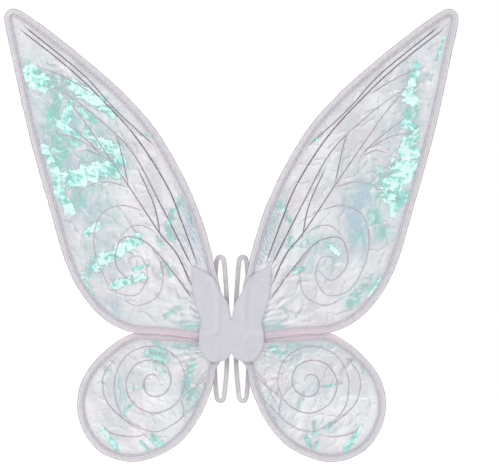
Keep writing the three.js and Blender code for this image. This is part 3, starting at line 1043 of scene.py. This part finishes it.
def make_veins(side, tier):
    wing = WINGS[tier]
    half_film = FILM_THICKNESS / 2
    right = [(out, half_film + proud, ink) for out, proud, ink in VEIN]
    top = [(-out, thick, ink) for out, thick, ink in right[:0:-1]] + right
    outline = top + [(out, -thick, ink) for out, thick, ink in reversed(top)]
    points, faces, tones, inks = [], [], [], []
    for path, (start_tone, end_tone) in vein_lines(tier):
        line = even(hermite(path, "straight", centripetal), VEIN_PITCH)
        height = wing.y + film_height(wing, side, line)
        count = len(line)
        share = np.linspace(0, 1, count)
        tone = start_tone + (end_tone - start_tone) * share
        taper = np.clip(np.minimum(share, 1 - share) * count / VEIN_TAPER, VEIN_TIP, 1)
        taper = taper * (0.66 + 0.64 * tone)

        def section(i, taper=taper):
            return [(out * taper[i], thick) for out, thick, _ in outline]

        join(points, faces, *sweep(line, height, section))
        tones += list(np.repeat(tone, len(outline)))
        inks += [ink for _, _, ink in outline] * count
    piece = make_piece(f"veins_{side}_{tier}", points, faces, MATERIALS["ink"], side)
    add_attribute(piece, "tone", tones)
    add_attribute(piece, "ink", inks)
    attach(piece, f"{side}_wings")


# ---------------------------------------------------------------- casings, wires and stitches

# The folded hem's half thickness from its inner edge to its outer edge: two layers of film with a
# stitch groove, then the bulge over the wire.
HEM = (
    (-5.0, 0.12), (-4.7, 0.3), (-4.2, 0.42), (-3.75, 0.36), (-3.45, 0.2), (-3.1, 0.36), (-2.5, 0.56),
    (-1.7, 0.95), (-0.9, 1.26), (0.0, 1.36), (0.9, 1.26), (1.7, 0.95), (2.6, 0.66), (3.6, 0.52),
    (4.5, 0.36), (5.0, 0.12),
)
CASING_PITCH = 1.5
STITCH_LINE = -3.45
STITCH_PITCH = 3.1
STITCH_LENGTH = 2.3
STITCH_RADIUS = 0.2
STITCH_DEPTH = 0.3  # from the hem's middle to a stitch's ends
STITCH_ARCH = 0.12
WIRE_PITCH = 2.0
WIRE_SIDES = 12


def make_casing(side, tier):
    wing, seed = WINGS[tier], SEEDS[side, tier] + 50
    line = even(wing.cased, CASING_PITCH)
    along = lengths(line)
    outs = np.array([out for out, _ in HEM])
    halves = np.array([half for _, half in HEM])
    free = np.clip(np.abs(outs) / CASING_HALF, 0, 1) ** 1.5

    def section(i):
        stitch = 0.5 + 0.5 * math.cos(2 * math.pi * along[i] / STITCH_PITCH)
        wander = 0.35 * wobble(along[i], 0, 9, seed)
        wave = 0.3 * wobble(along[i], 40, 6, seed)
        lump = 1 + 0.22 * wobble(along[i], 80, 5, seed) + 0.1 * stitch * (outs < -2)
        edge = outs + wander * free
        bend = wave * free
        thick = np.clip(halves * lump, 0.1, 1.4)
        top = list(zip(edge, thick + bend))
        bottom = list(zip(edge, -thick + bend))
        return top + bottom[::-1]

    points, faces = sweep(line, wing.y, section)
    piece = make_piece(f"casing_{side}_{tier}", points, faces, MATERIALS["casing"], side)
    across = (outs + CASING_HALF) / (2 * CASING_HALF)
    add_attribute(piece, "across", np.tile(np.concatenate([across, across[::-1]]), len(line)))
    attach(piece, f"{side}_wings")
    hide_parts(f"{side}_{tier}_casing")


def make_stitches(side, tier):
    wing = WINGS[tier]
    line = even(wing.cased, STITCH_PITCH)
    places = line + outwards(line) * STITCH_LINE
    along = directions(places)
    points, faces = [], []
    for face in (-1, 1):
        height = np.full(len(places), wing.y + face * STITCH_DEPTH)
        bars = threads(places, along, height, STITCH_LENGTH, STITCH_RADIUS, face * STITCH_ARCH)
        join(points, faces, *bars)
    piece = make_piece(f"stitches_{side}_{tier}", points, faces, MATERIALS["thread"], side)
    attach(piece, f"{side}_wings")


def make_wire(side, tier):
    wing = WINGS[tier]
    line = even(wing.line[1:-1], WIRE_PITCH)
    points, faces = sweep(line, wing.y, lambda i: ring(WIRE_RADIUS, WIRE_SIDES))
    piece = make_piece(f"wire_{side}_{tier}", points, faces, MATERIALS["wire"], side)
    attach(piece, f"{side}_wings")
    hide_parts(f"{side}_{tier}_wire")


SPLICE_RINGS = 25
SPLICE_SIDES = 20
SPLICE_MOUTH = 1.22  # its radius at both ends
SPLICE_SWELL = 0.2  # how much wider it is three rings in


def make_splice(side, tier):
    """The tube over the wire's ends, drawn in at both mouths."""
    wing = WINGS[tier]
    low, high = wing.splice
    places = np.linspace(low, high, SPLICE_RINGS)
    line = np.stack([np.full(SPLICE_RINGS, wing.root_x), places], axis=1)

    def section(i):
        mouth = min(i, SPLICE_RINGS - 1 - i) / 3
        ripple = 0.03 * math.cos(i * 1.7)
        return ring(SPLICE_MOUTH + SPLICE_SWELL * min(1, mouth) ** 0.5 + ripple, SPLICE_SIDES)

    points, faces = sweep(line, wing.y, section)
    piece = make_piece(f"splice_{side}_{tier}", points, faces, MATERIALS["tube"], side)
    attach(piece, f"{side}_wings")
    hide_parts(f"{side}_{tier}_splice")


# ---------------------------------------------------------------- felt covers

# Shares of the cover's half width and of its height above or below the hub.
COVER_UPPER_EDGE = ((0.093, 0.465), (0.253, 0.609), (0.445, 0.814), (0.7, 0.913))
COVER_SIDE = ((0.99, 0.715), (0.941, 0.519), (0.812, 0.286), (0.765, 0.196), (0.812, 0.035))
COVER_LOWER_EDGE = (
    (0.812, 0.341), (0.7, 0.731), (0.573, 0.925), (0.415, 1), (0.253, 0.952), (0.093, 0.85),
)
NOTCH_TOP = 21
NOTCH_BOTTOM = 21.2
COVER_EDGE_PITCH = 1.5
COVER_PITCH = 1.9
FELT_EDGE = 0.9  # how far in from the cut edge the felt reaches its full thickness
WELD = 1e-7  # metres


def cover_outline():
    low, high = box("front_cover")
    reach, top, bottom = high[0], high[2], -low[2]
    upper = [(0, NOTCH_TOP), *[(x * reach, z * top) for x, z in COVER_UPPER_EDGE], (reach, top)]
    lower = [
        (reach, top),
        *[(x * reach, z * top) for x, z in COVER_SIDE],
        *[(x * reach, -z * bottom) for x, z in COVER_LOWER_EDGE],
        (0, -NOTCH_BOTTOM),
    ]
    half = np.vstack([hermite(upper, "held", uniform)[:-1], hermite(lower, "held", uniform)])
    other = half[1:-1][::-1] * (-1, 1)
    whole = np.vstack([half, other])
    closed = even(np.vstack([whole, whole[:1]]), COVER_EDGE_PITCH)
    return closed[:-1]


def cover_relief(points):
    """How far the felt is pushed out, towards -Y, by the wires' casings and the wadding behind it."""
    mirrored = np.stack([np.abs(points[:, 0]), points[:, 1]], axis=1)
    relief = np.zeros(len(points))
    for tier, strength in (("upper", 0.85), ("lower", 0.5)):
        distance, _ = nearest(mirrored, WINGS[tier].line)
        relief = np.maximum(relief, strength * np.exp(-((distance / 3.6) ** 2)))
    pad = np.exp(-((points[:, 0] / 11) ** 2) - ((points[:, 1] / 18) ** 2))
    return relief + 0.35 * pad + 0.12 * wobbles(points, 17, 5.5)


def cushioned(flat, outline, edge):
    """Each point's distance from the outline, its share of the way in to where the edge ends, and
    how high a rounded edge is there, from 0 to 1."""
    distance, _ = nearest(flat, np.vstack([outline, outline[:1]]))
    share = np.clip(distance / edge, 0, 1)
    return distance, share, np.sqrt(1 - (1 - share) ** 2)


def make_cover(node, pushed):
    """Both halves of a cover. What lies behind it pushes the front cover out, but not the back one."""
    low, high = box(node)
    outline = cover_outline()
    flat, faces = filled(outline, COVER_PITCH)
    _, share, round_edge = cushioned(flat, outline, FELT_EDGE)
    swell = round_edge * (high[1] - low[1]) / 2
    middle = (low[1] + high[1]) / 2
    push, slope = np.zeros(len(flat)), np.zeros(len(flat))
    if pushed:
        push = -cover_relief(flat)
        # The relief's slope towards the light, for the painted light and shade on the felt.
        slope = -steepness(cover_relief, flat)
    soft = 0.06 * wobbles(flat, 3.2, 8.1) * share
    points, solid = slab(flat, faces, middle - swell + push + soft, middle + swell + push + soft)
    for side, sign in SIDES.items():
        piece = make_piece(f"{node}_{side}", points, solid, MATERIALS["felt"])
        add_attribute(piece, "slope", np.concatenate([slope, slope]))
        add_attribute(piece, "cut", np.concatenate([1 - share, 1 - share]))
        built = bmesh.new()
        built.from_mesh(piece.data)
        bmesh.ops.remove_doubles(built, verts=built.verts, dist=WELD)
        geometry = built.verts[:] + built.edges[:] + built.faces[:]
        bmesh.ops.bisect_plane(
            built, geom=geometry, dist=WELD, plane_co=(0, 0, 0), plane_no=(-sign, 0, 0), clear_outer=True
        )
        rim = [e for e in built.edges if e.is_boundary]
        caps = bmesh.ops.holes_fill(built, edges=rim)["faces"]
        for face in caps:
            for edge in face.edges:
                edge.smooth = False
        bmesh.ops.recalc_face_normals(built, faces=built.faces)
        built.to_mesh(piece.data)
        built.free()
        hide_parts(node)
        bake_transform(piece)


CORNER_SPANS = 4


def rounded_rectangle(low, high, radius):
    corners = (
        (high[0] - radius, high[2] - radius, 0), (low[0] + radius, high[2] - radius, 90),
        (low[0] + radius, low[2] + radius, 180), (high[0] - radius, low[2] + radius, 270),
    )
    points = []
    for x, z, start in corners:
        for i in range(CORNER_SPANS + 1):
            angle = math.radians(start + 90 / CORNER_SPANS * i)
            points.append((x + radius * math.cos(angle), z + radius * math.sin(angle)))
    line = even(np.array([*points, points[0]]), 1.0)
    return line[:-1]


KEEPER_CORNER = 2.5
KEEPER_PITCH = 1.2
SEAM_INSET = 1.9
SEAM_CORNER = 1.5
SEAM_DEPTH = 0.22
SEAM_PITCH = 2.6
SEAM_STITCH = (1.9, 0.19, 0.1)  # length, radius and arch


def make_keeper():
    """The felt patch over the elastic's sewn legs, and the seam that holds it."""
    low, high = box("strap_keeper")
    outline = rounded_rectangle(low, high, KEEPER_CORNER)
    flat, faces = filled(outline, KEEPER_PITCH)
    distance, _, round_edge = cushioned(flat, outline, FELT_EDGE)
    swell = round_edge * (high[1] - low[1]) / 2
    seam = np.exp(-(((distance - SEAM_INSET) / 0.5) ** 2)) * SEAM_DEPTH
    middle = (low[1] + high[1]) / 2
    points, solid = slab(flat, faces, middle - swell, middle + swell - seam)
    piece = make_piece("strap_keeper_patch", points, solid, MATERIALS["felt"])
    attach(piece, "centre")
    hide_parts("strap_keeper")
    corners = rounded_rectangle(low + SEAM_INSET, high - SEAM_INSET, SEAM_CORNER)
    back_to_start = [[high[0] - SEAM_INSET, high[2] - SEAM_INSET - SEAM_CORNER]]
    route = even(np.vstack([corners, back_to_start]), SEAM_PITCH)
    height = np.full(len(route), high[1] - 0.1)
    points, faces = threads(route, directions(route), height, *SEAM_STITCH)
    stitches = make_piece("strap_keeper_stitches", points, faces, MATERIALS["thread"])
    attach(stitches, "centre")


WADDING_CORNER = 3.5
WADDING_PITCH = 1.3
WADDING_EDGE = 3.2


def make_wadding():
    """The filling: a soft pad, crowned in the middle and thin at its edges."""
    low, high = box("core_wadding")
    outline = rounded_rectangle(low, high, WADDING_CORNER)
    flat, faces = filled(outline, WADDING_PITCH)
    _, _, round_edge = cushioned(flat, outline, WADDING_EDGE)
    swell = round_edge * (high[1] - low[1]) / 2
    swell = np.maximum(swell * (0.92 + 0.1 * wobbles(flat, 4, 2.2)), 0)
    middle = (low[1] + high[1]) / 2
    points, solid = slab(flat, faces, middle - swell, middle + swell)
    piece = make_piece("core_wadding_pad", points, solid, MATERIALS["wadding"])
    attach(piece, "centre")
    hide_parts("core_wadding")


# ---------------------------------------------------------------- shoulder loops

STRAP_STAND_OFF = math.radians(12)
STRAP_RIBS = 4
STRAP_STEPS = STRAP_RIBS * 4  # points across a face
STRAP_PITCH = 1.2
STRAP_ROOT = 16  # how much of the loop's inner leg bends with the swing
SEWN_RINGS = 16
ARC_SPANS = 4
LEG_CLEAR = 0.3  # how far past the keeper the sewn leg goes
STRAP_WIDTH = 6.0
STRAP_THICKNESS = 1.6
STRAP_OPENING = 18.0
STRAP_END_WIDTH = 9.2


def loop_line():
    """The loop's middle line from the keeper's top edge round to its bottom edge. X is counted
    from the sewn leg's inner edge, where the loop turns."""
    _, keeper_high = box("strap_keeper")
    low, high = box("right_strap_loop")
    half = STRAP_WIDTH / 2
    leg_end = keeper_high[2] + LEG_CLEAR
    radius = STRAP_END_WIDTH / 2
    middle = (STRAP_WIDTH + STRAP_OPENING) / 2
    top, bottom = high[2] - half - radius, low[2] + half + radius
    inner, outer, widest = middle - radius, middle + radius, half + STRAP_OPENING

    def between(a, b, share):
        return a + (b - a) * share

    centre = (top + bottom) / 2
    arcs = [math.pi * i / ARC_SPANS for i in range(1, ARC_SPANS)]
    points = [
        (half, leg_end), (half, leg_end + LEG_CLEAR),
        (between(half, inner, 0.12), between(leg_end, top, 0.35)),
        (between(half, inner, 0.52), between(leg_end, top, 0.72)),
        (inner, top),
        *[(middle - radius * math.cos(a), top + radius * math.sin(a)) for a in arcs],
        (outer, top),
        (between(outer, widest, 0.55), between(top, centre, 0.35)),
        (widest, centre),
        (between(outer, widest, 0.55), between(bottom, centre, 0.35)),
        (outer, bottom),
        *[(middle + radius * math.cos(a), bottom - radius * math.sin(a)) for a in arcs],
        (inner, bottom),
        (between(half, inner, 0.52), between(-leg_end, bottom, 0.72)),
        (between(half, inner, 0.12), between(-leg_end, bottom, 0.35)),
        (half, -leg_end - LEG_CLEAR), (half, -leg_end),
    ]
    return hermite(points, "straight", centripetal), leg_end


def strap_section(shear=0.0):
    """The ribbed elastic's outline: ribs across both faces and thinner edges. shear lifts one edge
    and lowers the other."""
    half = STRAP_WIDTH / 2 * 0.96
    face = []
    for i in range(STRAP_STEPS + 1):
        share = -1 + 2 * i / STRAP_STEPS
        rib = 0.5 + 0.5 * math.cos(math.pi * STRAP_RIBS * (share + 1))
        edge = (1 - abs(share) ** 6) ** 0.5 * 0.85 + 0.15
        thick = (STRAP_THICKNESS / 2 - 0.16 * rib) * edge * 0.92
        face.append((share * half, thick, shear * share))
    top = [(u, v + lift) for u, v, lift in face]
    bottom = [(u, -v + lift) for u, v, lift in face]
    return top + bottom[::-1]


def shade_strap(piece):
    """Marks where the grooves between the ribs run, and how near each point is to an edge, for the painted
    shade in both.
    """
    places = [i / STRAP_STEPS for i in range(STRAP_STEPS + 1)]
    grooves = [0.5 + 0.5 * math.cos(2 * math.pi * STRAP_RIBS * place) for place in places]
    edges = [abs(2 * place - 1) for place in places]
    for name, row in (("groove", grooves), ("edge", edges)):
        row = row + row[::-1]
        add_attribute(piece, name, row * (len(piece.data.vertices) // len(row)))


def stood_off(points, x, y, angles):
    """Loop points turned about the sewn leg's inner edge, each by its own angle."""
    turned = []
    for (px, py, pz), angle in zip(points, angles):
        c, s = math.cos(angle), math.sin(angle)
        py += STRAP_THICKNESS / 2
        turned.append((x + px * c - py * s, y - STRAP_THICKNESS / 2 + px * s + py * c, pz))
    return turned


def make_strap(side):
    """The elastic ring in three pieces: the free run, and the sewn leg's two halves, whose ends
    twist with the swing."""
    line, leg_end = loop_line()
    leg_low, leg_high = box("right_strap_leg")
    strap_y = (leg_low[1] + leg_high[1]) / 2
    turn_x = (leg_low[0] + leg_high[0]) / 2 - STRAP_WIDTH / 2
    line = even(line, STRAP_PITCH)
    rooted = leg_end + STRAP_ROOT
    cut = int(np.argmax(line[:, 1] > rooted))
    back = len(line) - 1 - int(np.argmax(line[::-1, 1] < -rooted))
    free = line[cut : back + 1]
    bottom, top = free[:, 1].min(), free[:, 1].max()
    seed = 60 + SIDES[side]

    def pucker(i):
        """In the tight ends the ribbon's inner edge has too little room, so it ruffles."""
        z = free[i][1]
        tight = math.exp(-((min(abs(z - top), abs(z - bottom)) / 5) ** 2))
        return strap_section(0.55 * tight * math.sin(i * 1.15 + seed) + 0.12 * wobble(i, 0, 9, seed))

    count = len(strap_section())
    points, faces = sweep(free, 0.0, pucker)
    points = stood_off(points, turn_x, strap_y, [STRAP_STAND_OFF] * len(points))
    piece = make_piece(f"strap_free_run_{side}", points, faces, MATERIALS["elastic"], side)
    shade_strap(piece)
    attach(piece, f"{side}_strap")
    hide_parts(f"{side}_strap_loop")

    places = np.linspace(0, leg_end - STRAP_PITCH, SEWN_RINGS)
    sewn = np.stack([np.full(SEWN_RINGS, STRAP_WIDTH / 2), places], axis=1)
    ends = {
        "upper": np.vstack([sewn, line[: cut + 1]]),
        "lower": np.vstack([sewn * (1, -1), line[back:][::-1]]),
    }
    for end, run in ends.items():
        points, faces = sweep(run, 0.0, lambda i: strap_section())
        share = np.clip((np.abs(run[:, 1]) - leg_end) / STRAP_ROOT, 0, 1)
        twist = STRAP_STAND_OFF * share * share * (3 - 2 * share)
        points = stood_off(points, turn_x, strap_y, np.repeat(twist, count))
        piece = make_piece(f"strap_{end}_leg_{side}", points, faces, MATERIALS["elastic"], side)
        shade_strap(piece)
        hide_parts(f"{side}_strap_leg")
        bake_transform(piece)


# ---------------------------------------------------------------- the whole


def make_floor():
    angles = np.linspace(0, 2 * math.pi, FLOOR_SIDES, endpoint=False)
    rim = [
        (FLOOR_RADIUS * math.cos(a) / MM, FLOOR_RADIUS * math.sin(a) / MM, FLOOR_Z / MM) for a in angles
    ]
    floor = make_piece("floor", rim, [tuple(range(FLOOR_SIDES))], floor_material())


make_camera()
make_world()
for light in LIGHTS:
    make_light(*light)

for side in SIDES:
    for tier in TIERS:
        make_casing(side, tier)
        make_film(side, tier)
        make_veins(side, tier)
        make_stitches(side, tier)
        make_wire(side, tier)
        make_splice(side, tier)
    make_strap(side)
make_cover("front_cover", pushed=True)
make_cover("back_cover", pushed=False)
make_keeper()
make_wadding()

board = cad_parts["core_board"]
board.data.materials.clear()
board.data.materials.append(MATERIALS["board"])

make_floor()
